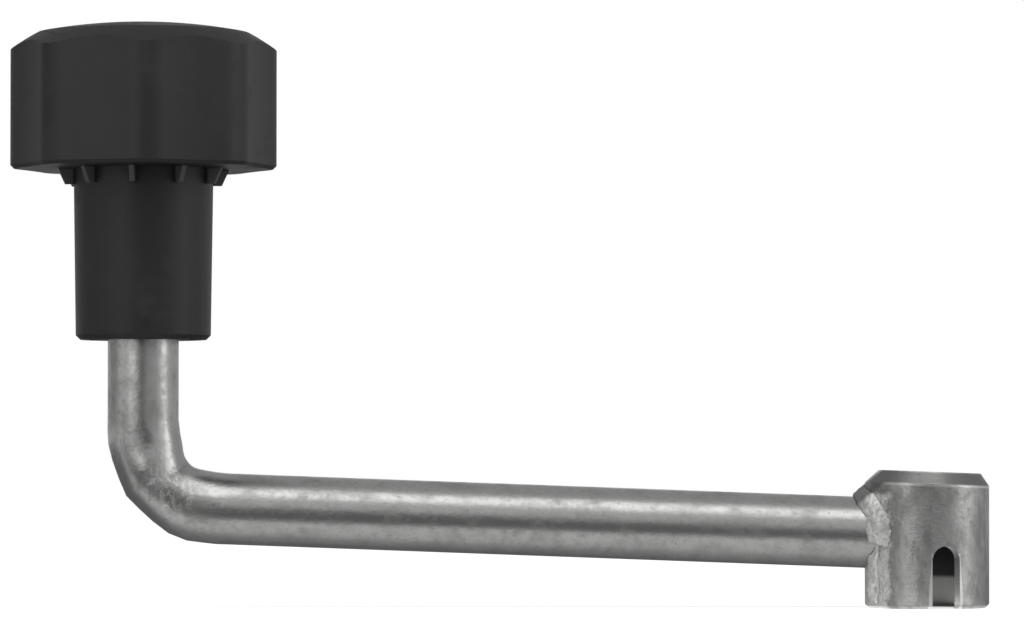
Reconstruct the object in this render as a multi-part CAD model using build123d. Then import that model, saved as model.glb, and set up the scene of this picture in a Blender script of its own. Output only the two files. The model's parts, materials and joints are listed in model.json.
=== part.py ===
from build123d import *
from math import atan2, cos, pi, radians, sin, sqrt, tan
import os

# Crank handle for a jack or winch spindle: a bent steel tube, a socket hub welded
# to its lower end and a moulded mushroom grip that turns on its upper end.
# Millimetres. The origin is on the socket's axis, in the plane of its mouth.
# +Z runs up the socket and along the grip, and the arm runs from the socket to -X.

# tube
tube_diameter = 16.0
tube_wall = 2.0
crank_throw = 176.5        # socket axis to grip axis
arm_slope = 2.1            # degrees that the arm falls towards the socket
arm_height = 16.95         # arm's axis above the mouth, where it meets the hub

# crushed bend
bend_radius = 5.0          # inside of the bend
bend_flattening = 1.9      # how far the outside of the bend has flattened inwards
bend_bulge = 1.1           # how far the inside of the bend has pushed out
bend_crease = 0.42         # share of the width lost where the inside has folded
bend_run_in = 7.0          # straight length at each end that the bend has pulled out of round
bend_steps = 12
# how the crush comes and goes: (share of the way through, share of its full size)
flat_stations = [(0.0, 0.0), (0.12, 0.0), (0.34, 0.79), (0.40, 0.69), (0.52, 1.0), (0.77, 0.2),
                 (0.90, 0.0), (1.0, 0.0)]
bulge_stations = [(0.0, 0.0), (0.24, 0.95), (0.45, 1.0), (0.70, 0.8), (1.0, 0.0)]
crease_stations = [(0.0, 0.0), (0.39, 0.0), (0.50, 1.0), (0.63, 0.0), (1.0, 0.0)]

# socket hub
hub_diameter = 28.0
hub_height = 30.6
hub_top_bevel = 2.7        # height of the bevel round the hub's top
hub_top_step = 1.9         # and its width
hub_foot_bevel = 0.9
spindle_diameter = 20.0
spindle_clearance = 0.15   # all round
socket_depth = 25.0
slot_width = 6.4           # clears a 6 mm cross pin
slot_height = 14.0
slot_turn = 14.0           # degrees from the front, about the socket's axis

# weld: a ring over the tube from the back, then a seam down the front of the hub
weld_tube_leg = 2.5        # at the tube's sides
weld_hub_leg = 4.3
weld_top_tube_leg = 3.6    # over the tube, where the hub's corner has melted into the bead
weld_top_hub_leg = 3.0
weld_crown = 0.9           # how far the bead bulges past a flat fillet, at the tube's sides
weld_ripple = 0.45         # how much the bead swells in the middle of a ripple
ripple_steps = 3           # sections to a ripple
ring_ripples = 5
ring_start = -95.0         # degrees round the tube from its top, at the back
ring_end = 105.0           # and at the front
seam_ripples = 2
seam_foot = 0.9            # end of the seam above the hub's mouth
seam_side = 3.0            # degrees round the hub from the arm, near side of the seam
seam_front = 46.0          # and its front side
seam_spread = 6.0          # degrees that each millimetre of swell adds to each side
seam_proud = 0.9
weld_root = 1.2            # depth of the bead's inner corner below the metal
toe_sink = 0.2             # how far the bead's toes lie below the metal

# grip
grip_foot = 60.3           # lower end of the neck above the socket's mouth
neck_length = 38.5
neck_foot_diameter = 30.4
neck_top_diameter = 31.5
neck_foot_bevel = 1.0
grip_clearance = 0.08      # running fit on the tube
head_height = 33.0
lobe_count = 8
lobe_turn = -18.0          # degrees from +X to the middle of a flute
flute_radius = 90.0
flute_reach = 27.95        # head's axis to the middle of a flute
ridge_radius = 8.0
inner_ridge_radius = 1.0   # least rounding of the ridges inside the head
crown_radius = 125.0
shoulder_radius = 50.5     # the shoulder falls away on a smaller ball than the crown
shoulder_rise = 3.7        # top of that ball above the crown
rim_bevel = 0.8
wall = 3.0
gusset_count = 10
gusset_thickness = 1.1
gusset_reach = 3.8         # out from the neck
gusset_drop = 3.6          # below the head's underside
gusset_rake = 1.7          # how much the tip draws in towards its foot
gusset_turn = 13.6         # degrees from +X to a gusset
join_overlap = 0.5         # how far moulded features run into each other
core_count = 6
core_web = 1.6
core_depth = 34.0
sleeve_wall = 2.4          # round the tube, inside the cores
web_height = 50.5          # underside of the web that sits on the tube, above the grip's foot
boss_wall = 3.8
cap_seat = 3.6             # cap's rim thickness at the wall
cap_ledge = 1.4
cap_clearance = 0.1
cap_thickness = 2.4
cap_skirt = 2.2

# retainer
end_float = 0.25           # between the web and the tube's end, and under the retainer's head
retainer_clearance = 0.3   # all round, in the web's hole
retainer_head_diameter = 19.0
retainer_head_height = 2.4
retainer_length = 20.0
retainer_bevel = 0.5

tube_radius = tube_diameter / 2
hub_radius = hub_diameter / 2
spindle_radius = spindle_diameter / 2 + spindle_clearance
grip_axis = Location((-crank_throw, 0, 0))
head_foot = grip_foot + neck_length
web_foot = grip_foot + web_height
web_top = web_foot + wall
tube_top = web_foot - end_float
crown_top = head_foot + head_height
bend_turn = 90.0 - arm_slope


def arm_axis_height(x):
    """Height of the arm's axis at x, on the line that meets the hub at arm_height."""
    return arm_height + (-x - hub_radius) * tan(radians(arm_slope))


bend_centre_radius = bend_radius + tube_radius
bend_x = bend_centre_radius - crank_throw
bend_z = (arm_axis_height(bend_x - bend_centre_radius * sin(radians(arm_slope)))
          + bend_centre_radius * cos(radians(arm_slope)))


def tube_section(plane, half_depth, half_width, crease=0.0):
    """A squashed round of the tube, narrower on the inside of the bend by the crease."""
    edges = []
    for quarter in range(4):
        points = []
        for step in range(5):
            angle = radians(90 * quarter + 22.5 * step)
            lost = crease * max(-cos(angle), 0) ** 2
            points.append(Vector(half_depth * cos(angle), half_width * sin(angle) * (1 - lost)))
        ends = [Vector(-points[0].Y / half_width * half_depth, points[0].X / half_depth * half_width),
                Vector(-points[4].Y / half_width * half_depth, points[4].X / half_depth * half_width)]
        edges.append(Edge.make_spline(points, tangents=ends))
    return plane * Face(Wire(edges))


def round_section(plane, radius):
    edges = [Edge.make_circle(radius, start_angle=90 * quarter, end_angle=90 * quarter + 90)
             for quarter in range(4)]
    return plane * Face(Wire(edges))


def bend_plane(turned, distance, advance=0.0):
    """Plane across the bend, turned degrees round it and distance out from its centre."""
    out = Vector(-cos(radians(turned)), 0, -sin(radians(turned)))
    along = Vector(sin(radians(turned)), 0, -cos(radians(turned)))
    origin = Vector(bend_x, 0, bend_z) + out * distance + along * advance
    return Plane(origin=origin, x_dir=out, z_dir=along)


def eased(stations, share):
    """Value at share of the way, easing from each (share, value) station to the next."""
    for (start, before), (end, after) in zip(stations, stations[1:]):
        if share <= end:
            swing = (1 - cos(pi * (share - start) / (end - start))) / 2
            return before + (after - before) * swing
    return stations[-1][1]


def bend_body(inset):
    """The crushed bend: its outside flattens in facets and its inside bulges and folds."""
    radius = tube_radius - inset
    arc_length = radians(bend_turn) * bend_centre_radius
    length = arc_length + 2 * bend_run_in
    sections = []
    for step in range(bend_steps + 1):
        share = step / bend_steps
        along = share * length - bend_run_in
        turned = min(max(along / arc_length, 0), 1) * bend_turn
        advance = min(along, 0) + max(along - arc_length, 0)
        if step in (0, bend_steps):
            sections.append(round_section(bend_plane(turned, bend_centre_radius, advance), radius))
            continue
        inner = bend_radius - eased(bulge_stations, share) * bend_bulge
        outer = bend_radius + tube_diameter - eased(flat_stations, share) * bend_flattening
        half_depth = (outer - inner) / 2
        half_width = tube_diameter - half_depth
        plane = bend_plane(turned, (inner + outer) / 2, advance)
        crease = eased(crease_stations, share) * bend_crease
        sections.append(tube_section(plane, half_depth - inset, half_width - inset, crease))
    return loft(sections, ruled=True)


def arm_rod(radius):
    """Straight arm from the end of the bend to the socket's axis."""
    start = bend_plane(bend_turn, bend_centre_radius, bend_run_in)
    return extrude(start * Circle(radius), -start.origin.X / cos(radians(arm_slope)))


def tube_body(inset):
    """Shank, bend and arm as one solid, smaller all round by inset."""
    radius = tube_radius - inset
    shank_foot = bend_z + bend_run_in
    shank = grip_axis * Pos(0, 0, shank_foot) * extrude(Circle(radius), tube_top - shank_foot)
    return bend_body(inset) + shank + arm_rod(radius)


def crank_tube():
    hub_space = extrude(Circle(hub_radius), hub_height)
    return tube_body(0) - tube_body(tube_wall) - hub_space


def hub_blank():
    """The hub's outside: a round bar with a bevelled top cut to the slope of the arm."""
    slope = radians(arm_slope)
    bar = extrude(Circle(hub_radius), hub_height + hub_radius)
    top = Plane(origin=(0, 0, hub_height), z_dir=(sin(slope), 0, cos(slope)))
    bar = split(bar, bisect_by=top, keep=Keep.BOTTOM)
    side = bar.faces().filter_by(GeomType.CYLINDER)[0]
    bar = chamfer(bar.edges().sort_by(Axis.Z)[-1], hub_top_bevel, hub_top_step, reference=side)
    bar = chamfer(bar.edges().sort_by(Axis.Z)[0], hub_foot_bevel)
    # the corner over the tube has melted to the slope of the bead
    melt = atan2(weld_top_hub_leg, weld_top_tube_leg)
    corner = arm_axis_height(-hub_radius) + tube_radius + weld_top_hub_leg
    melted = Plane(origin=(-hub_radius, 0, corner), z_dir=(-sin(melt), 0, cos(melt)))
    return split(bar, bisect_by=melted, keep=Keep.BOTTOM)


def drive_slot():
    """Cutter for the cross-pin slot: open at the mouth, round at the top, through both walls."""
    turn = radians(slot_turn)
    across = Plane(origin=(0, 0, 0), x_dir=(cos(turn), sin(turn), 0),
                   z_dir=(sin(turn), -cos(turn), 0))
    round_height = slot_height - slot_width / 2
    outline = (Pos(0, round_height / 2) * Rectangle(slot_width, round_height)
               + Pos(0, round_height) * Circle(slot_width / 2))
    return extrude(across * outline, hub_diameter, both=True)


def hub_socket():
    bore = extrude(Circle(spindle_radius), socket_depth)
    return hub_blank() - bore - drive_slot()


def hub_point(side, height, outwards=0.0):
    """Point on the hub's side, degrees round from the arm towards the front."""
    reach = hub_radius + outwards
    return Vector(-reach * cos(radians(side)), -reach * sin(radians(side)), height)


def bead_section(first_toe, crown, second_toe, root):
    """Section of a bead: two flats that rise from the toes to the crown, and the root."""
    return Face(Wire.make_polygon([first_toe, crown, second_toe, root]))


def ring_section(angle, swell):
    """Bead in the corner between tube and hub, at angle round the tube from its top."""
    over = max(cos(radians(angle)), 0) ** 2
    swell = swell * (1 - over)
    tube_leg = weld_tube_leg + (weld_top_tube_leg - weld_tube_leg) * over
    hub_leg = weld_hub_leg + (weld_top_hub_leg - weld_hub_leg) * over
    y = -tube_radius * sin(radians(angle))
    rise = tube_radius * cos(radians(angle))
    x = -sqrt(hub_radius ** 2 - y ** 2)
    corner = Vector(x, y, arm_axis_height(x) + rise)
    off_tube = Vector(0, y, rise).normalized()
    off_hub = Vector(x, y, 0).normalized()
    tube_toe = corner + Vector(-tube_leg - swell, 0, 0) - off_tube * toe_sink
    up_hub = (off_tube - off_hub * off_tube.dot(off_hub)).normalized()
    hub_toe = corner + up_hub * (hub_leg + swell)
    hub_toe = hub_toe - off_hub * (Vector(hub_toe.X, hub_toe.Y, 0).length - hub_radius + toe_sink)
    outward = (off_tube + off_hub).normalized()
    middle = (tube_toe + hub_toe) / 2
    root = middle - outward * ((middle - corner).length + weld_root)
    crown = middle + outward * (weld_crown * (1 - over) + swell)
    return bead_section(tube_toe, crown, hub_toe, root)


def seam_section(height, swell):
    """Bead that lies on the hub's side below the tube."""
    middle = (seam_side + seam_front) / 2
    spread = seam_spread * swell
    return bead_section(hub_point(seam_side - spread, height, -toe_sink),
                        hub_point(middle, height, seam_proud + swell),
                        hub_point(seam_front + spread, height, -toe_sink),
                        hub_point(middle, height, -weld_root))


def bead(section, start, end, ripples):
    """Bead from start to end whose section swells once in every ripple."""
    steps = ripples * ripple_steps
    sections = []
    for step in range(steps + 1):
        swell = weld_ripple * sin(pi * (step % ripple_steps) / ripple_steps)
        sections.append(section(start + (end - start) * step / steps, swell))
    return loft(sections, ruled=True)


def weld_bead():
    ring = bead(ring_section, ring_start, ring_end, ring_ripples)
    seam = bead(seam_section, arm_axis_height(-hub_radius), seam_foot, seam_ripples)
    return ring + seam - hub_blank() - arm_rod(tube_radius)


def grip_retainer():
    """Headed plug: its shank is pressed into the tube and its head holds the grip on."""
    head_under = web_top + end_float
    shank = Pos(0, 0, head_under - retainer_length) * extrude(
        Circle(tube_radius - tube_wall), retainer_length)
    head = Pos(0, 0, head_under) * extrude(Circle(retainer_head_diameter / 2),
                                           retainer_head_height)
    shank = chamfer(shank.edges().sort_by(Axis.Z)[0], retainer_bevel)
    return grip_axis * (shank + head)


def head_plan(inset=0.0):
    """The head's outline, inset all round: shallow flutes that meet in rounded lobes."""
    centre = flute_reach + flute_radius
    half = pi / lobe_count
    corner = centre * cos(half) - sqrt((flute_radius + inset) ** 2 - (centre * sin(half)) ** 2)
    flutes = []
    for flute in range(lobe_count):
        middle = radians(lobe_turn) + 2 * half * flute
        points = [(corner, middle - half), (flute_reach - inset, middle), (corner, middle + half)]
        flutes.append(Edge.make_three_point_arc(
            *[Vector(reach * cos(angle), reach * sin(angle)) for reach, angle in points]))
    outline = Sketch() + Face(Wire(flutes))
    return fillet(outline.vertices(), max(ridge_radius - inset, inner_ridge_radius))


def ball(radius, top):
    """Ball turned so that its poles lie outside the head."""
    return Pos(0, 0, top - radius) * Rot(90, 0, 0) * Sphere(radius)


def domed(block):
    """The block cut to the head's crown and to the shoulder round it."""
    block = block & ball(crown_radius, crown_top)
    return block & ball(shoulder_radius, crown_top + shoulder_rise)


def cap_seat_height():
    """Height of the ledge in the head, which the cap's rim rests on."""
    inside = flute_reach - wall
    return crown_top - crown_radius + sqrt(crown_radius ** 2 - inside ** 2) - cap_seat


def head_shell():
    head = Pos(0, 0, head_foot) * extrude(head_plan(), head_height)
    head = domed(chamfer(head.faces().sort_by(Axis.Z)[0].edges(), rim_bevel))
    seat = cap_seat_height()
    cap_space = Pos(0, 0, seat) * extrude(head_plan(wall), head_height)
    cup_space = Pos(0, 0, head_foot + wall) * extrude(head_plan(wall + cap_ledge), head_height)
    return head - cap_space - cup_space


def neck():
    foot_radius = neck_foot_diameter / 2
    top_radius = neck_top_diameter / 2
    post = Pos(0, 0, grip_foot + neck_length / 2) * Cone(foot_radius, top_radius, neck_length)
    return chamfer(post.edges().sort_by(Axis.Z)[0], neck_foot_bevel)


def cores():
    """Pockets moulded up into the neck from its foot, between the sleeve and the skin."""
    inner = tube_radius + grip_clearance + sleeve_wall
    outer = neck_foot_diameter / 2 - sleeve_wall
    ring = Circle(outer) - Circle(inner)
    webs = PolarLocations(0, core_count) * Rectangle(outer, core_web, align=(Align.MIN, Align.CENTER))
    return Pos(0, 0, grip_foot) * extrude(ring - webs, core_depth)


def gussets():
    root = neck_top_diameter / 2 - 2 * join_overlap
    tip = neck_top_diameter / 2 + gusset_reach
    top = head_foot + join_overlap
    outline = Plane.XZ * Polygon((root, top), (tip, top), (tip, head_foot),
                                 (tip - gusset_rake, head_foot - gusset_drop),
                                 (root, head_foot - gusset_drop), align=None)
    rib = extrude(outline, gusset_thickness / 2, both=True)
    return [Rot(0, 0, gusset_turn + 360 * turn / gusset_count) * rib for turn in range(gusset_count)]


def grip_body():
    """Head, neck and gussets moulded in one, cored, with a web that stops above the tube's end."""
    boss_radius = tube_radius + grip_clearance + boss_wall
    boss = Pos(0, 0, head_foot) * extrude(Circle(boss_radius), web_top - head_foot)
    body = head_shell() + neck() + boss
    for rib in gussets():
        body = body + rib
    bore = Pos(0, 0, grip_foot) * extrude(Circle(tube_radius + grip_clearance),
                                          web_foot - grip_foot)
    plug_hole = Pos(0, 0, web_foot) * extrude(
        Circle(tube_radius - tube_wall + retainer_clearance), wall)
    return grip_axis * (body - bore - plug_hole - cores())


def grip_cap():
    """Crowned cap whose rim rests on the ledge in the head, cored from below."""
    seat = cap_seat_height()
    rise = crown_top - seat
    cap = Pos(0, 0, seat) * extrude(head_plan(wall + cap_clearance), rise)
    cap = domed(cap)
    core = Pos(0, 0, seat) * extrude(head_plan(wall + cap_clearance + cap_skirt), rise)
    return grip_axis * (cap - (core & ball(crown_radius - cap_thickness, crown_top - cap_thickness)))


os.makedirs("parts", exist_ok=True)
for make in (crank_tube, hub_socket, weld_bead, grip_retainer, grip_body, grip_cap):
    export_step(make(), "parts/" + make.__name__ + ".step")
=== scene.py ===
import json
import math

import bmesh
import bpy
from bpy.props import FloatProperty, FloatVectorProperty, IntProperty, PointerProperty
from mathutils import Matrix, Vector, noise


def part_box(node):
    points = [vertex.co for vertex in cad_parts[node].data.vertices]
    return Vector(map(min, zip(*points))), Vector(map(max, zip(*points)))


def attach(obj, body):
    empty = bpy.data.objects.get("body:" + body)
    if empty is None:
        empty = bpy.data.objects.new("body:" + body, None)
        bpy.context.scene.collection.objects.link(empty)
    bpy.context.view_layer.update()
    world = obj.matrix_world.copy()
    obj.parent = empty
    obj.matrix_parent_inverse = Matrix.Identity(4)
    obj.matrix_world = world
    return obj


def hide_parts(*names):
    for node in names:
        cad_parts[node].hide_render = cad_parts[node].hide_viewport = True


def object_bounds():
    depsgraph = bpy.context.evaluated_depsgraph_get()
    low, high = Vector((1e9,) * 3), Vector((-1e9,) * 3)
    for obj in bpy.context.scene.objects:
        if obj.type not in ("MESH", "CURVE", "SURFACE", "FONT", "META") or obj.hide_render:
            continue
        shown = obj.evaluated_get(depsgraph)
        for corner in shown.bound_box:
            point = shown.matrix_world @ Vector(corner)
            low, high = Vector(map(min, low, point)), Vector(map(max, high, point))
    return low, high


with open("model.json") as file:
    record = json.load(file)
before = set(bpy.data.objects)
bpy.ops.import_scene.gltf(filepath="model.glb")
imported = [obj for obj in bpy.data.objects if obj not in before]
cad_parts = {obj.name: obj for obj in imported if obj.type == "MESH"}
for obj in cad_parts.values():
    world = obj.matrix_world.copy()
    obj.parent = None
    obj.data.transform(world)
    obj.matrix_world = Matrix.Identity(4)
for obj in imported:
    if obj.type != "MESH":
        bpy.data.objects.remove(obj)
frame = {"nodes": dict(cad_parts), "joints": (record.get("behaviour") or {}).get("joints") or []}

bl_info = {
    "name": "Crank Handle Finishes",
    "version": (1, 0, 0),
    "blender": (4, 5, 0),
    "location": "3D View > Sidebar > Crank",
    "description": "Finishes, weld and studio for a bent tube crank with a turning grip",
    "category": "Object",
}

# Lengths are in metres and lamp powers in watts.
CAD_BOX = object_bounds()
MIDDLE = (Vector(CAD_BOX[0]) + Vector(CAD_BOX[1])) / 2
HUB_LOW, HUB_HIGH = (Vector(corner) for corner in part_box("hub_socket"))
HUB_RADIUS = (HUB_HIGH.y - HUB_LOW.y) / 2
TUBE_LOW = Vector(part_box("crank_tube")[0])
GRIP_LOW = Vector(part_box("grip_body")[0])
GRIP_AXIS = Vector(next(j for j in frame["joints"] if j["name"] == "grip_spin")["pos_m"])

# name, place, width, height and watts of each soft lamp that faces the crank's middle
LAMPS = (
    ("top_softbox", (MIDDLE.x, -0.60, 0.98), 1.4, 0.56, 3.7),
    ("right_softbox", (1.0, -0.36, 0.35), 0.45, 0.9, 2.1),
    ("left_softbox", (-0.75, -0.95, 0.35), 0.5, 0.8, 1.35),
)

# (y, light) along the card that the steel's underside reflects, brightest just before the arm
TABLE_LIGHT = ((-0.30, 0.11), (-0.040, 0.11), (-0.030, 0.78), (-0.012, 0.65), (0.0, 0.30),
               (0.010, 0.16))


# ---------------------------------------------------------------- settings

class SteelSettings(bpy.types.PropertyGroup):
    """Zinc-plated steel of the tube, the hub and the weld."""
    colour: FloatVectorProperty(
        name="Zinc", description="Colour of the bright zinc plating",
        default=(0.50, 0.50, 0.495), size=3, subtype="COLOR", min=0, max=1)
    dull_colour: FloatVectorProperty(
        name="Dull zinc", description="Colour of the blotches where the zinc is dull",
        default=(0.30, 0.30, 0.295), size=3, subtype="COLOR", min=0, max=1)
    weld_colour: FloatVectorProperty(
        name="Weld", description="Colour of the zinc over the weld and its spatter",
        default=(0.86, 0.86, 0.85), size=3, subtype="COLOR", min=0, max=1)
    # Painted shade: darkens the weld's sloping top from the tube to the hub.
    melt_shade_colour: FloatVectorProperty(
        name="Melted slope", description="Colour of the slope that the weld melted into the hub",
        default=(0.24, 0.24, 0.238), size=3, subtype="COLOR", min=0, max=1)
    scuff_colour: FloatVectorProperty(
        name="Scuffs", description="Colour of the scuffs where the bend was crushed",
        default=(0.66, 0.66, 0.65), size=3, subtype="COLOR", min=0, max=1)
    # Painted shade: darkens the bevel round the hub's top.
    bevel_shade_colour: FloatVectorProperty(
        name="Bevel colour", description="Colour of the bevel round the hub's top",
        default=(0.22, 0.22, 0.218), size=3, subtype="COLOR", min=0, max=1)
    # Painted highlight: a bright line below that bevel.
    rim_highlight_colour: FloatVectorProperty(
        name="Rim", description="Colour of the bright line below that bevel",
        default=(0.72, 0.72, 0.71), size=3, subtype="COLOR", min=0, max=1)
    # Painted highlight along the edges of the cross-pin slot.
    slot_highlight_colour: FloatVectorProperty(
        name="Slot edges", description="Colour of the edges of the cross-pin slot",
        default=(0.8, 0.8, 0.79), size=3, subtype="COLOR", min=0, max=1)
    # Painted light on the bore's wall up to the lit height.
    lit_bore_colour: FloatVectorProperty(
        name="Bore mouth", description="Colour of the plated mouth of the bore",
        default=(0.30, 0.30, 0.295), size=3, subtype="COLOR", min=0, max=1)
    # Painted shade on the bore's wall above the lit height.
    shaded_bore_colour: FloatVectorProperty(
        name="Bare bore", description="Colour of the bore above its plating",
        default=(0.02, 0.02, 0.02), size=3, subtype="COLOR", min=0, max=1)
    blotch: FloatProperty(
        name="Blotch size", description="Size of a blotch in the plating",
        default=0.006, min=0.001, max=0.05, unit="LENGTH")
    wave_depth: FloatProperty(
        name="Wave depth", description="Depth of the slow waves in the plating",
        default=0.00014, min=0, max=0.001, unit="LENGTH")
    spangle_depth: FloatProperty(
        name="Spangle depth", description="Depth of the crystals in the plating",
        default=0.00005, min=0, max=0.001, unit="LENGTH")
    roughness: FloatProperty(
        name="Roughness", description="Roughness of the bright plating",
        default=0.29, min=0, max=1, subtype="FACTOR")
    soft_angle: FloatProperty(
        name="Soft angle", description="Edges of the bend flatter than this look rounded",
        default=math.radians(38), min=0, max=1.5, subtype="ANGLE")
    hub_top: FloatProperty(
        name="Hub top", description="Height of the hub's sloping top on the bore's axis",
        default=0.0306, min=0, max=0.1, unit="LENGTH")
    bevel: FloatProperty(
        name="Top bevel", description="Height of the bevel round the hub's top",
        default=0.0027, min=0, max=0.01, unit="LENGTH")
    top_slope: FloatProperty(
        name="Top slope", description="Fall of the hub's top away from the arm",
        default=math.radians(2.1), min=0, max=0.5, subtype="ANGLE")
    melt_slope: FloatProperty(
        name="Melt angle", description="Slope of the weld's top from the tube to the hub",
        default=math.atan2(3.0, 3.6), min=0, max=1.5, subtype="ANGLE")
    melt_height: FloatProperty(
        name="Melt height", description="Height of that slope at the hub's side",
        default=0.02795, min=0, max=0.1, unit="LENGTH")
    slot_turn: FloatProperty(
        name="Slot turn", description="Turn of the cross-pin slot from the crank's plane",
        default=math.radians(14), min=-1.5, max=1.5, subtype="ANGLE")
    slot_width: FloatProperty(
        name="Slot width", description="Width of the cross-pin slot",
        default=0.0064, min=0.001, max=0.02, unit="LENGTH")
    bore: FloatProperty(
        name="Bore", description="Radius of the spindle bore",
        default=0.01015, min=0.001, max=0.02, unit="LENGTH")
    bore_depth: FloatProperty(
        name="Bore depth", description="Depth of the spindle bore",
        default=0.025, min=0.001, max=0.1, unit="LENGTH")
    # Height up to which the bore's wall is painted lit.
    lit_bore_depth: FloatProperty(
        name="Plated depth", description="How far the zinc reaches up the bore",
        default=0.0068, min=0, max=0.03, unit="LENGTH")


class WeldSettings(bpy.types.PropertyGroup):
    """Ripples of the weld bead."""
    ripple_pitch: FloatProperty(
        name="Ripple pitch", description="Distance from one ripple to the next",
        default=0.0084, min=0.001, max=0.02, unit="LENGTH")
    ripple_height: FloatProperty(
        name="Ripple height", description="Height of a ripple above the bead",
        default=0.00035, min=0, max=0.002, unit="LENGTH")
    grain: FloatProperty(
        name="Grain", description="Height of the roughness on the bead",
        default=0.0002, min=0, max=0.001, unit="LENGTH")
    voxel: FloatProperty(
        name="Mesh step", description="Edge length of the bead's mesh",
        default=0.0003, min=0.0001, max=0.001, unit="LENGTH")
    melting: IntProperty(
        name="Melting", description="Rounds of smoothing that melt the bead's edges",
        default=14, min=0, max=100)


class GripSettings(bpy.types.PropertyGroup):
    """Charcoal plastic of the grip and its cap."""
    colour: FloatVectorProperty(
        name="Charcoal", description="Colour of the moulded plastic",
        default=(0.0085, 0.0085, 0.009), size=3, subtype="COLOR", min=0, max=1)
    worn_colour: FloatVectorProperty(
        name="Rubbed", description="Colour where the plastic is rubbed",
        default=(0.0185, 0.0185, 0.019), size=3, subtype="COLOR", min=0, max=1)
    # Painted highlight: the ribs under the head are painted lighter than the rest of the plastic.
    rib_highlight_colour: FloatVectorProperty(
        name="Rib edges", description="Colour of the rubbed ribs under the head",
        default=(0.06, 0.06, 0.06), size=3, subtype="COLOR", min=0, max=1)
    patch: FloatProperty(
        name="Patch size", description="Size of a rubbed patch",
        default=0.014, min=0.001, max=0.1, unit="LENGTH")
    streak: FloatProperty(
        name="Streak size", description="Size of the streaks that break up a rubbed patch",
        default=0.0045, min=0.0005, max=0.05, unit="LENGTH")
    grain: FloatProperty(
        name="Grain", description="Size of the moulded grain",
        default=0.0005, min=0.0001, max=0.005, unit="LENGTH")
    grain_depth: FloatProperty(
        name="Grain depth", description="Depth of the moulded grain",
        default=0.00003, min=0, max=0.001, unit="LENGTH")
    neck: FloatProperty(
        name="Neck", description="Radius of the neck where it meets the head",
        default=0.01575, min=0.001, max=0.05, unit="LENGTH")
    neck_length: FloatProperty(
        name="Neck length", description="Height of the neck below the head",
        default=0.0385, min=0.001, max=0.1, unit="LENGTH")
    roughness: FloatProperty(
        name="Roughness", description="Roughness of the satin surface",
        default=0.5, min=0, max=1, subtype="FACTOR")


class StageSettings(bpy.types.PropertyGroup):
    """Camera, lamps and floor."""
    distance: FloatProperty(
        name="Camera distance", description="From the camera to the crank's plane",
        default=1.237, min=0.3, max=5, unit="LENGTH")
    sideways: FloatProperty(
        name="Sideways", description="From the crank's middle to the camera's line of sight",
        default=0.0028, min=-1, max=1, unit="LENGTH")
    eye_level: FloatProperty(
        name="Eye level", description="Camera height above the socket's mouth",
        default=0.031, min=-1, max=2, unit="LENGTH")
    aim_level: FloatProperty(
        name="Aim level", description="Height at which the camera is aimed",
        default=0.0659, min=-1, max=2, unit="LENGTH")
    focal_length: FloatProperty(
        name="Focal length", description="Camera lens, in millimetres",
        default=193.0, min=20, max=500, subtype="DISTANCE_CAMERA")
    pale: FloatVectorProperty(
        name="Floor", description="Colour of the floor",
        default=(0.95, 0.95, 0.95), size=3, subtype="COLOR", min=0, max=1)
    sheet: FloatVectorProperty(
        name="Backdrop", description="Colour of the backdrop under the lamps",
        default=(0.9, 0.9, 0.9), size=3, subtype="COLOR", min=0, max=1)
    floor_lift: FloatProperty(
        name="Floor lift", description="Light that whitens the floor where it is seen directly",
        default=0.62, min=0, max=1, subtype="FACTOR")
    surround: FloatVectorProperty(
        name="Surround", description="Light of the room round the stage",
        default=(0.41, 0.41, 0.41), size=3, subtype="COLOR", min=0, max=1)


SETTINGS = {"crank_steel": SteelSettings, "crank_weld": WeldSettings,
            "crank_grip": GripSettings, "crank_stage": StageSettings}


# ---------------------------------------------------------------- shading tools

def new_material(name):
    """Material with a Principled shader; returns it, its node tree and the shader."""
    material = bpy.data.materials.new(name)
    material.use_nodes = True
    tree = material.node_tree
    shader = tree.nodes["Principled BSDF"]
    return material, tree, shader


def source_of(shader, name):
    """Socket that feeds the shader's input of that name."""
    return shader.inputs[name].links[0].from_socket


def object_space(tree):
    """Texture coordinates fixed to the part, in metres."""
    return tree.nodes.new("ShaderNodeTexCoord").outputs["Object"]


def coordinates(tree):
    """X, Y and Z on the part, in metres."""
    split = tree.nodes.new("ShaderNodeSeparateXYZ")
    tree.links.new(object_space(tree), split.inputs["Vector"])
    return split.outputs["X"], split.outputs["Y"], split.outputs["Z"]


def noise_field(tree, space, size, detail=4.0, roughness=0.55, stretch=(1, 1, 1),
                offset=(0, 0, 0)):
    """Noise whose features are about size across; returns its 0 to 1 value."""
    mapping = tree.nodes.new("ShaderNodeMapping")
    mapping.inputs["Scale"].default_value = stretch
    mapping.inputs["Location"].default_value = offset
    tree.links.new(space, mapping.inputs["Vector"])
    field = tree.nodes.new("ShaderNodeTexNoise")
    field.inputs["Scale"].default_value = 1 / size
    field.inputs["Detail"].default_value = detail
    field.inputs["Roughness"].default_value = roughness
    tree.links.new(mapping.outputs["Vector"], field.inputs["Vector"])
    return field.outputs["Fac"]


def ramp(tree, value, low, high, from_value=0.0, to_value=1.0):
    """Value mapped smoothly from low..high to from_value..to_value."""
    node = tree.nodes.new("ShaderNodeMapRange")
    node.interpolation_type = "SMOOTHSTEP"
    node.inputs["From Min"].default_value = low
    node.inputs["From Max"].default_value = high
    node.inputs["To Min"].default_value = from_value
    node.inputs["To Max"].default_value = to_value
    tree.links.new(value, node.inputs["Value"])
    return node.outputs["Result"]


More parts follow.
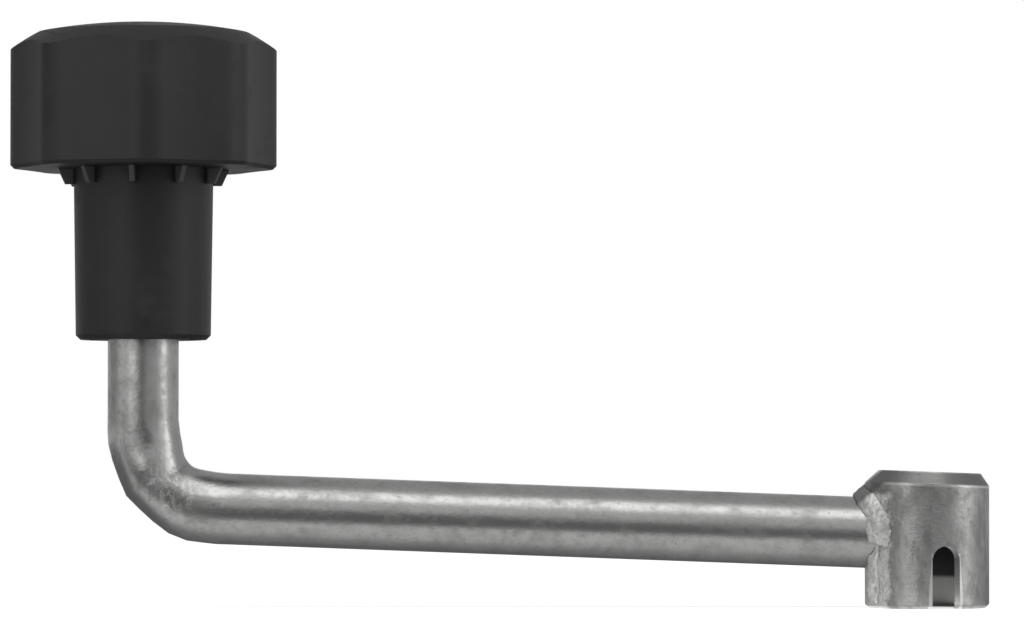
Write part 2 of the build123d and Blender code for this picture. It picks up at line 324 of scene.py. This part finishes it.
def maths(tree, operation, first, second=0.0):
    """One arithmetic node; either side is a socket or a number."""
    node = tree.nodes.new("ShaderNodeMath")
    node.operation = operation
    for value, socket in ((first, node.inputs[0]), (second, node.inputs[1])):
        if isinstance(value, (int, float)):
            socket.default_value = value
        else:
            tree.links.new(value, socket)
    return node.outputs["Value"]


def off_axis(tree, x, y):
    """Distance of the point (x, y) from an upright axis at 0, 0."""
    squares = maths(tree, "ADD", maths(tree, "MULTIPLY", x, x), maths(tree, "MULTIPLY", y, y))
    return maths(tree, "SQRT", squares)


def blend_colours(tree, factor, first, second):
    """Colour between first and second by factor; a colour is a socket or an RGB triple."""
    node = tree.nodes.new("ShaderNodeMix")
    node.data_type = "RGBA"
    tree.links.new(factor, node.inputs["Factor"])
    for colour, socket in ((first, node.inputs[6]), (second, node.inputs[7])):
        if isinstance(colour, bpy.types.NodeSocket):
            tree.links.new(colour, socket)
        else:
            socket.default_value = (*colour, 1)
    return node.outputs[2]


def bump(tree, shader, height, depth, strength=1.0, under=None):
    """Bump of the given depth in metres on the shader; returns its normal for a second layer."""
    node = tree.nodes.new("ShaderNodeBump")
    node.inputs["Distance"].default_value = depth
    node.inputs["Strength"].default_value = strength
    tree.links.new(height, node.inputs["Height"])
    if under is not None:
        tree.links.new(under, node.inputs["Normal"])
    tree.links.new(node.outputs["Normal"], shader.inputs["Normal"])
    return node.outputs["Normal"]


# ---------------------------------------------------------------- steel

def zinc_steel(name, steel, colour, rougher, pit_depth):
    """Zinc plating with dull blotches, spangle, fine specks and shallow pits.

    It is rougher than the setting by the given amount. Returns the material, its node tree
    and its shader.
    """
    material, tree, shader = new_material(name)
    space = object_space(tree)
    shader.inputs["Metallic"].default_value = 1.0
    blotches = noise_field(tree, space, steel.blotch, detail=6, roughness=0.65)
    specks = noise_field(tree, space, steel.blotch / 7, detail=3, roughness=0.7, offset=(3, 1, 2))
    spangle = noise_field(tree, space, steel.blotch / 3, detail=4, roughness=0.7, offset=(1, 6, 2))
    blotched = maths(tree, "MULTIPLY", ramp(tree, blotches, 0.42, 0.66), 0.7)
    spangled = maths(tree, "MULTIPLY", ramp(tree, spangle, 0.46, 0.64), 0.35)
    speckled = maths(tree, "MULTIPLY", ramp(tree, specks, 0.56, 0.72), 0.8)
    dull = maths(tree, "MULTIPLY", maths(tree, "ADD", blotched, spangled), 0.6)
    dull = maths(tree, "MAXIMUM", dull, speckled)
    tree.links.new(blend_colours(tree, dull, colour, steel.dull_colour), shader.inputs["Base Color"])
    bright = steel.roughness + rougher
    tree.links.new(ramp(tree, dull, 0, 1, bright, min(bright + 0.25, 1)), shader.inputs["Roughness"])
    waves = noise_field(tree, space, steel.blotch * 1.5, detail=2, offset=(7, 4, 1))
    under = bump(tree, shader, waves, steel.wave_depth, 0.7)
    under = bump(tree, shader, spangle, steel.spangle_depth, 0.6, under)
    bump(tree, shader, specks, pit_depth, 0.7, under)
    return material, tree, shader


def melted(tree, steel, colour):
    """Colour with painted shade along the slope that the weld melted from the tube's top to the
    hub's.
    """
    x, _, z = coordinates(tree)
    from_side = maths(tree, "ADD", x, HUB_RADIUS)
    climb = maths(tree, "MULTIPLY", from_side, math.tan(steel.melt_slope))
    slope = maths(tree, "ADD", climb, steel.melt_height)
    below = maths(tree, "SUBTRACT", slope, z)
    # Painted shade in a band below that slope.
    shade = ramp(tree, below, 0.0024, 0.0038, 0.85, 0.0)  # a band about 3 mm deep
    return blend_colours(tree, shade, colour, steel.melt_shade_colour)


def weld_steel(name, steel):
    """Bright rough zinc over the weld, with painted shade along its melted top."""
    material, tree, shader = zinc_steel(name, steel, steel.weld_colour, 0.28, 0.00022)
    colour = melted(tree, steel, source_of(shader, "Base Color"))
    tree.links.new(colour, shader.inputs["Base Color"])
    return material


def tube_steel(name, steel):
    """Zinc on the tube, scuffed and brighter where the bend was crushed."""
    material, tree, shader = zinc_steel(name, steel, steel.colour, 0.0, 0.00006)
    space = object_space(tree)
    crushed_spot = (GRIP_AXIS.x + 0.0065, TUBE_LOW.y, 0.0262)
    from_spot = tree.nodes.new("ShaderNodeVectorMath")
    from_spot.operation = "DISTANCE"
    from_spot.inputs[1].default_value = crushed_spot
    tree.links.new(space, from_spot.inputs[0])
    near = ramp(tree, from_spot.outputs["Value"], 0.003, 0.0085, 0.8, 0.0)
    marks = noise_field(tree, space, 0.0014, detail=5, roughness=0.7, stretch=(1, 1, 0.6))
    scuffs = maths(tree, "MULTIPLY", near, ramp(tree, marks, 0.48, 0.66))
    colour = blend_colours(tree, scuffs, source_of(shader, "Base Color"), steel.scuff_colour)
    tree.links.new(colour, shader.inputs["Base Color"])
    bump(tree, shader, scuffs, 0.00007, 0.7, source_of(shader, "Normal"))
    return material


def smeared(tree, steel, colour):
    """Colour dulled in upright smears."""
    smears = noise_field(tree, object_space(tree), 0.0034, detail=5, roughness=0.65,
                         stretch=(1, 1, 0.45))
    return blend_colours(tree, ramp(tree, smears, 0.44, 0.62, 0.0, 0.75), colour,
                         steel.dull_colour)


def bevelled(tree, steel, x, z, colour):
    """Colour with painted shade on the bevel round the hub's sloping top and a painted highlight in
    a line below it.
    """
    fall = maths(tree, "MULTIPLY", x, math.tan(steel.top_slope))
    below_top = maths(tree, "SUBTRACT", steel.hub_top, maths(tree, "ADD", z, fall))
    above_rim = ramp(tree, below_top, steel.bevel - 0.0002, steel.bevel + 0.0001, 1.0, 0.0)
    bevel = maths(tree, "MULTIPLY", above_rim, ramp(tree, below_top, 0.0001, 0.0004))
    bevel = maths(tree, "MULTIPLY", bevel, 0.85)
    # Painted shade on the bevel.
    colour = blend_colours(tree, bevel, colour, steel.bevel_shade_colour)
    # Painted highlight on the line below the bevel.
    off_rim = maths(tree, "ABSOLUTE", maths(tree, "SUBTRACT", below_top, steel.bevel + 0.0003))
    rim = ramp(tree, off_rim, 0.0001, 0.0004, 0.8, 0.0)
    return blend_colours(tree, rim, colour, steel.rim_highlight_colour)


def spattered(tree, shader, steel, x, z, colour):
    """Colour with a ragged band of weld spatter beside the bead, which also gets a bump."""
    ragged = noise_field(tree, object_space(tree), 0.0026, detail=6, roughness=0.75,
                         offset=(4, 2, 8))
    from_weld = maths(tree, "ADD", x, maths(tree, "MULTIPLY", ragged, 0.0070))
    beside = ramp(tree, from_weld, -0.0066, -0.0048, 1.0, 0.0)
    below_bevel = ramp(tree, z, steel.hub_top - 0.0062, steel.hub_top - 0.0040, 0.9, 0.0)
    spatter = maths(tree, "MULTIPLY", beside, below_bevel)
    lumps = noise_field(tree, object_space(tree), 0.0011, detail=4, roughness=0.7)
    lumps = maths(tree, "MULTIPLY", spatter, lumps)
    bump(tree, shader, lumps, 0.0012, 1.0, source_of(shader, "Normal"))
    return blend_colours(tree, spatter, colour, steel.weld_colour)


def edged_slot(tree, steel, x, y, z, colour):
    """Colour with a painted highlight along the edges of the cross-pin slot, most at its mouth."""
    along = maths(tree, "MULTIPLY", x, math.cos(steel.slot_turn))
    across = maths(tree, "ADD", along, maths(tree, "MULTIPLY", y, math.sin(steel.slot_turn)))
    beside_slot = maths(tree, "SUBTRACT", maths(tree, "ABSOLUTE", across), steel.slot_width / 2)
    spread = maths(tree, "MULTIPLY", ramp(tree, z, 0.002, 0.012, 1.0, 0.2), 0.0008)
    edge = maths(tree, "LESS_THAN", beside_slot, spread)
    edge = maths(tree, "MULTIPLY", edge, ramp(tree, z, 0.0118, 0.0128, 0.75, 0.0))
    return blend_colours(tree, edge, colour, steel.slot_highlight_colour)


def bored(tree, shader, steel, x, y, z, colour):
    """Colour with painted light on the bore up to a height from its mouth and painted shade above
    it, neither of them metallic.
    """
    inside = ramp(tree, off_axis(tree, x, y), steel.bore + 0.0002, steel.bore + 0.0005, 1.0, 0.0)
    within_depth = maths(tree, "LESS_THAN", z, steel.bore_depth + 0.0005)
    inside = maths(tree, "MULTIPLY", inside, within_depth)
    # Painted light on the bore's lower wall, painted shade above it.
    shaded_above = ramp(tree, z, steel.lit_bore_depth - 0.0006, steel.lit_bore_depth + 0.0006)
    bore_colour = blend_colours(tree, shaded_above, steel.lit_bore_colour, steel.shaded_bore_colour)
    tree.links.new(maths(tree, "SUBTRACT", 1.0, inside), shader.inputs["Metallic"])
    return blend_colours(tree, inside, colour, bore_colour)


def hub_steel(name, steel):
    """Zinc on the hub, with weld spatter, painted shade on its bevel and its melted slope, painted
    highlights below the bevel and along the slot's edges, and painted light and shade in its bore.
    """
    material, tree, shader = zinc_steel(name, steel, steel.colour, 0.08, 0.0001)
    x, y, z = coordinates(tree)
    colour = smeared(tree, steel, source_of(shader, "Base Color"))
    colour = bevelled(tree, steel, x, z, colour)
    colour = spattered(tree, shader, steel, x, z, colour)
    colour = melted(tree, steel, colour)
    colour = edged_slot(tree, steel, x, y, z, colour)
    colour = bored(tree, shader, steel, x, y, z, colour)
    tree.links.new(colour, shader.inputs["Base Color"])
    return material


# ---------------------------------------------------------------- plastic

def charcoal_plastic(name, grip):
    """Satin moulded plastic, rubbed in patches and finely grained, with a painted highlight on the
    ribs under the head.
    """
    material, tree, shader = new_material(name)
    space = object_space(tree)
    patches = noise_field(tree, space, grip.patch, detail=6, roughness=0.65)
    streaks = noise_field(tree, space, grip.streak, detail=5, roughness=0.7,
                          stretch=(0.6, 0.6, 1.8), offset=(5, 3, 1))
    rubbed = maths(tree, "MULTIPLY", ramp(tree, patches, 0.46, 0.66),
                   ramp(tree, streaks, 0.40, 0.62, 0.35, 1.0))
    x, y, z = coordinates(tree)
    radius = off_axis(tree, maths(tree, "SUBTRACT", x, GRIP_AXIS.x), y)
    # Painted highlight on the ribs, outside the neck and below the head.
    ribs = ramp(tree, radius, grip.neck + 0.0002, grip.neck + 0.0008)
    head_foot = GRIP_LOW.z + grip.neck_length
    ribs = maths(tree, "MULTIPLY", ribs, maths(tree, "LESS_THAN", z, head_foot - 0.0001))
    colour = blend_colours(tree, rubbed, grip.colour, grip.worn_colour)
    colour = blend_colours(tree, ribs, colour, grip.rib_highlight_colour)
    tree.links.new(colour, shader.inputs["Base Color"])
    roughness = ramp(tree, rubbed, 0, 1, grip.roughness, grip.roughness + 0.12)
    tree.links.new(roughness, shader.inputs["Roughness"])
    grain = noise_field(tree, space, grip.grain, detail=2, offset=(2, 5, 3))
    bump(tree, shader, grain, grip.grain_depth, 0.5)
    return material


# ---------------------------------------------------------------- pieces

def paint_node(node, material):
    """Gives a packed node its material."""
    slots = frame["nodes"][node].data.materials
    slots.clear()
    slots.append(material)


def rounded_skin(name, node, soft_angle, weld_gap=0.000002):
    """Copy of a node's mesh whose edges below soft_angle run smoothly into each other.

    Corners closer than weld_gap are joined first, so that the faces share their edges.
    """
    mesh = frame["nodes"][node].data.copy()
    mesh.name = name
    work = bmesh.new()
    work.from_mesh(mesh)
    bmesh.ops.remove_doubles(work, verts=work.verts, dist=weld_gap)
    for edge in work.edges:
        edge.smooth = len(edge.link_faces) == 2 and edge.calc_face_angle(0) < soft_angle
    for face in work.faces:
        face.smooth = True
    mesh.clear_geometry()
    work.to_mesh(mesh)
    work.free()
    skin = bpy.data.objects.new(name, mesh)
    bpy.context.scene.collection.objects.link(skin)
    return skin


class CRANK_OT_steel(bpy.types.Operator):
    """Zinc-plate the tube and the hub"""
    bl_idname = "crank.steel"
    bl_label = "Tube and hub"

    def execute(self, context):
        steel = context.scene.crank_steel
        tube = rounded_skin("bent_tube", "crank_tube", steel.soft_angle)
        tube.data.materials.clear()
        tube.data.materials.append(tube_steel("zinc_tube", steel))
        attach(tube, "crank")
        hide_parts("crank_tube")
        paint_node("hub_socket", hub_steel("zinc_hub", steel))
        return {"FINISHED"}


def bead_travel(point, lean=0.6):
    """Distance up the bead of a point near it, less the ripples' lean round the hub."""
    side = math.atan2(-point.y, -point.x)
    return point.z - side * HUB_RADIUS * lean


def even_mesh(bead, weld):
    """Evenly meshed copy of the bead's shape with its edges melted."""
    remesh = bead.modifiers.new("even mesh", "REMESH")
    remesh.mode = "VOXEL"
    remesh.voxel_size = weld.voxel
    remesh.use_smooth_shade = True
    melt = bead.modifiers.new("melted edges", "SMOOTH")
    melt.factor = 0.5
    melt.iterations = weld.melting
    depsgraph = bpy.context.evaluated_depsgraph_get()
    even = bpy.data.meshes.new_from_object(bead.evaluated_get(depsgraph))
    bead.modifiers.clear()
    return even


def ripple(mesh, weld, grain_size=0.0013):
    """Moves the points of the bead's mesh into ripples and grain."""
    for vertex in mesh.vertices:
        place = vertex.co
        phase = bead_travel(place) / weld.ripple_pitch
        wave = abs(math.sin(math.pi * phase)) * weld.ripple_height
        rough = noise.fractal(place / grain_size, 0.8, 2.0, 3) * weld.grain
        vertex.co = place + vertex.normal * (wave + rough - weld.ripple_height / 2)


class CRANK_OT_weld(bpy.types.Operator):
    """Lay the rippled weld over the packed bead"""
    bl_idname = "crank.weld"
    bl_label = "Weld"

    def execute(self, context):
        weld = context.scene.crank_weld
        mesh = frame["nodes"]["weld_bead"].data.copy()
        mesh.name = "weld_ripples"
        bead = bpy.data.objects.new("weld_ripples", mesh)
        context.scene.collection.objects.link(bead)
        bead.data = even_mesh(bead, weld)
        ripple(bead.data, weld)
        bead.data.shade_smooth()
        bead.data.materials.clear()
        bead.data.materials.append(weld_steel("zinc_weld", context.scene.crank_steel))
        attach(bead, "crank")
        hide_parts("weld_bead")
        return {"FINISHED"}


class CRANK_OT_grip(bpy.types.Operator):
    """Finish the grip, its cap and the plug inside it"""
    bl_idname = "crank.grip"
    bl_label = "Grip"

    def execute(self, context):
        grip = context.scene.crank_grip
        paint_node("grip_body", charcoal_plastic("charcoal_grip", grip))
        paint_node("grip_cap", charcoal_plastic("charcoal_cap", grip))
        paint_node("grip_retainer", charcoal_plastic("charcoal_plug", grip))
        return {"FINISHED"}


# ---------------------------------------------------------------- stage

def add_softbox(name, place, aim, width, height, power):
    """Rectangular lamp at place, turned towards aim."""
    lamp = bpy.data.lights.new(name, "AREA")
    lamp.shape = "RECTANGLE"
    lamp.size = width
    lamp.size_y = height
    lamp.energy = power
    softbox = bpy.data.objects.new(name, lamp)
    softbox.location = place
    softbox.rotation_euler = (Vector(aim) - Vector(place)).to_track_quat("-Z", "Y").to_euler()
    bpy.context.scene.collection.objects.link(softbox)
    return softbox


def sweep_sheet(name, profile, left, right, material):
    """Sheet swept along X over the profile of (y, z) points."""
    mesh = bmesh.new()
    rows = [[mesh.verts.new((x, y, z)) for y, z in profile] for x in (left, right)]
    for start in range(len(profile) - 1):
        mesh.faces.new((rows[0][start], rows[1][start], rows[1][start + 1], rows[0][start + 1]))
    data = bpy.data.meshes.new(name)
    mesh.to_mesh(data)
    mesh.free()
    data.shade_smooth()
    data.materials.append(material)
    sheet = bpy.data.objects.new(name, data)
    bpy.context.scene.collection.objects.link(sheet)
    return sheet


def seen_directly(tree):
    """1 for rays from the camera and in reflections and glass, 0 for all other light."""
    path = tree.nodes.new("ShaderNodeLightPath")
    seen = maths(tree, "MAXIMUM", path.outputs["Is Camera Ray"], path.outputs["Is Glossy Ray"])
    return maths(tree, "MAXIMUM", seen, path.outputs["Is Transmission Ray"])


def pale_floor(stage):
    """Matt pale floor that keeps the part's shadow."""
    material, tree, shader = new_material("pale_floor")
    shader.inputs["Base Color"].default_value = (*stage.pale, 1)
    shader.inputs["Roughness"].default_value = 0.9
    shader.inputs["Specular IOR Level"].default_value = 0.0
    shader.inputs["Emission Color"].default_value = (1, 1, 1, 1)
    lift = maths(tree, "MULTIPLY", seen_directly(tree), stage.floor_lift)
    tree.links.new(lift, shader.inputs["Emission Strength"])
    return material


def white_backdrop(stage):
    """White to the camera and in reflections, and an ordinary white sheet to all other light."""
    material, tree, shader = new_material("white_backdrop")
    shader.inputs["Base Color"].default_value = (*stage.sheet, 1)
    shader.inputs["Roughness"].default_value = 1.0
    glow = tree.nodes.new("ShaderNodeEmission")
    glow.inputs["Strength"].default_value = 1.0
    mix = tree.nodes.new("ShaderNodeMixShader")
    tree.links.new(seen_directly(tree), mix.inputs["Fac"])
    tree.links.new(shader.outputs["BSDF"], mix.inputs[1])
    tree.links.new(glow.outputs["Emission"], mix.inputs[2])
    tree.links.new(mix.outputs["Shader"], tree.nodes["Material Output"].inputs["Surface"])
    return material


def card_glow(name, stops):
    """Glow that goes through stops of (y, light); a single stop lights the card evenly."""
    material = bpy.data.materials.new(name)
    material.use_nodes = True
    tree = material.node_tree
    tree.nodes.remove(tree.nodes["Principled BSDF"])
    glow = tree.nodes.new("ShaderNodeEmission")
    tree.links.new(glow.outputs["Emission"], tree.nodes["Material Output"].inputs["Surface"])
    light = stops[0][1]
    glow.inputs["Strength"].default_value = light
    if len(stops) > 1:
        y = coordinates(tree)[1]
        for (start, before), (end, after) in zip(stops, stops[1:]):
            light = maths(tree, "ADD", light, ramp(tree, y, start, end, 0.0, after - before))
        tree.links.new(maths(tree, "MAXIMUM", light, 0.0), glow.inputs["Strength"])
    return material


def reflected_card(name, profile, left, right, stops):
    """Glowing sheet that only reflections see; it lights nothing else and hides nothing."""
    card = sweep_sheet(name, profile, left, right, card_glow(name, stops))
    card.visible_camera = False
    card.visible_diffuse = False
    card.visible_transmission = False
    card.visible_shadow = False
    return card


def light_surround(scene, stage):
    """Even light of the room."""
    world = bpy.data.worlds.new("studio")
    world.use_nodes = True
    background = world.node_tree.nodes["Background"]
    background.inputs["Color"].default_value = (*stage.surround, 1)
    background.inputs["Strength"].default_value = 1.0
    scene.world = world


def place_camera(scene, stage):
    """Long lens level with the hub, in front of the crank's plane."""
    lens = bpy.data.cameras.new("camera")
    lens.lens = stage.focal_length
    lens.sensor_width = 36
    lens.clip_start = 0.05
    camera = bpy.data.objects.new("camera", lens)
    sight_x = (CAD_BOX[0][0] + CAD_BOX[1][0]) / 2 + stage.sideways
    place = Vector((sight_x, -stage.distance, stage.eye_level))
    aim = Vector((sight_x, 0, stage.aim_level))
    camera.location = place
    camera.rotation_euler = (aim - place).to_track_quat("-Z", "Y").to_euler()
    scene.collection.objects.link(camera)
    scene.camera = camera


class CRANK_OT_stage(bpy.types.Operator):
    """Set up the floor, the lamps and the camera"""
    bl_idname = "crank.stage"
    bl_label = "Stage"

    def execute(self, context):
        scene = context.scene
        stage = scene.crank_stage
        floor = sweep_sheet("floor", [(-4.0, 0.0), (4.0, 0.0)], -4, 4, pale_floor(stage))
        backdrop = sweep_sheet("backdrop", [(4.0, 0.0), (4.0, 1.6)], -0.9, 0.7,
                               white_backdrop(stage))

        table = reflected_card("table_card", [(-1.3, 0.0005), (0.5, 0.0005)], -0.5, 0.35,
                               TABLE_LIGHT)
        dark = reflected_card("dark_card", [(-1.3, 0.0), (-1.3, 0.22)],
                              GRIP_AXIS.x - 0.24, GRIP_AXIS.x + 0.22, [(-1.3, 0.03)])
        side = reflected_card("side_card", [(0.0, 0.0), (0.0, 0.6)], -0.35, 0.45, [(0.0, 0.17)])
        side.location = (-0.95, 0.25, 0)
        side.rotation_euler.z = math.pi / 2
        glow = reflected_card("glow_card", [(-1.3, 0.24), (-1.3, 0.95)], -0.7, 0.5,
                              [(-1.3, 0.62)])

        light_surround(scene, stage)
        for name, place, width, height, power in LAMPS:
            add_softbox(name, place, MIDDLE, width, height, power)
        mouth = add_softbox("mouth_light", (0, 0, 0.0006), (0, 0, 1), 0.014, 0.014, 0.0009)
        mouth.visible_camera = False

        place_camera(scene, stage)
        scene.view_settings.view_transform = "Standard"
        return {"FINISHED"}


# ---------------------------------------------------------------- add-on

OPERATORS = (CRANK_OT_steel, CRANK_OT_weld, CRANK_OT_grip, CRANK_OT_stage)


class CRANK_PT_sidebar(bpy.types.Panel):
    """Pieces of the crank handle and their settings"""
    bl_idname = "CRANK_PT_sidebar"
    bl_label = "Crank Handle"
    bl_space_type = "VIEW_3D"
    bl_region_type = "UI"
    bl_category = "Crank"

    def draw(self, context):
        for operator in OPERATORS:
            self.layout.operator(operator.bl_idname)
        for name, group in SETTINGS.items():
            box = self.layout.box()
            box.label(text=group.__doc__)
            for field in group.__annotations__:
                box.prop(getattr(context.scene, name), field)


def register():
    """Adds the settings, the operators and the panel."""
    for group in SETTINGS.values():
        bpy.utils.register_class(group)
    for name, group in SETTINGS.items():
        setattr(bpy.types.Scene, name, PointerProperty(type=group))
    for operator in OPERATORS:
        bpy.utils.register_class(operator)
    bpy.utils.register_class(CRANK_PT_sidebar)


def unregister():
    """Takes away what register added."""
    bpy.utils.unregister_class(CRANK_PT_sidebar)
    for operator in reversed(OPERATORS):
        bpy.utils.unregister_class(operator)
    for name, group in SETTINGS.items():
        delattr(bpy.types.Scene, name)
        bpy.utils.unregister_class(group)


def main():
    """Dresses the packed part."""
    register()
    bpy.ops.crank.steel()
    bpy.ops.crank.weld()
    bpy.ops.crank.grip()
    bpy.ops.crank.stage()
    bpy.context.view_layer.update()


if __name__ == "__main__":
    main()
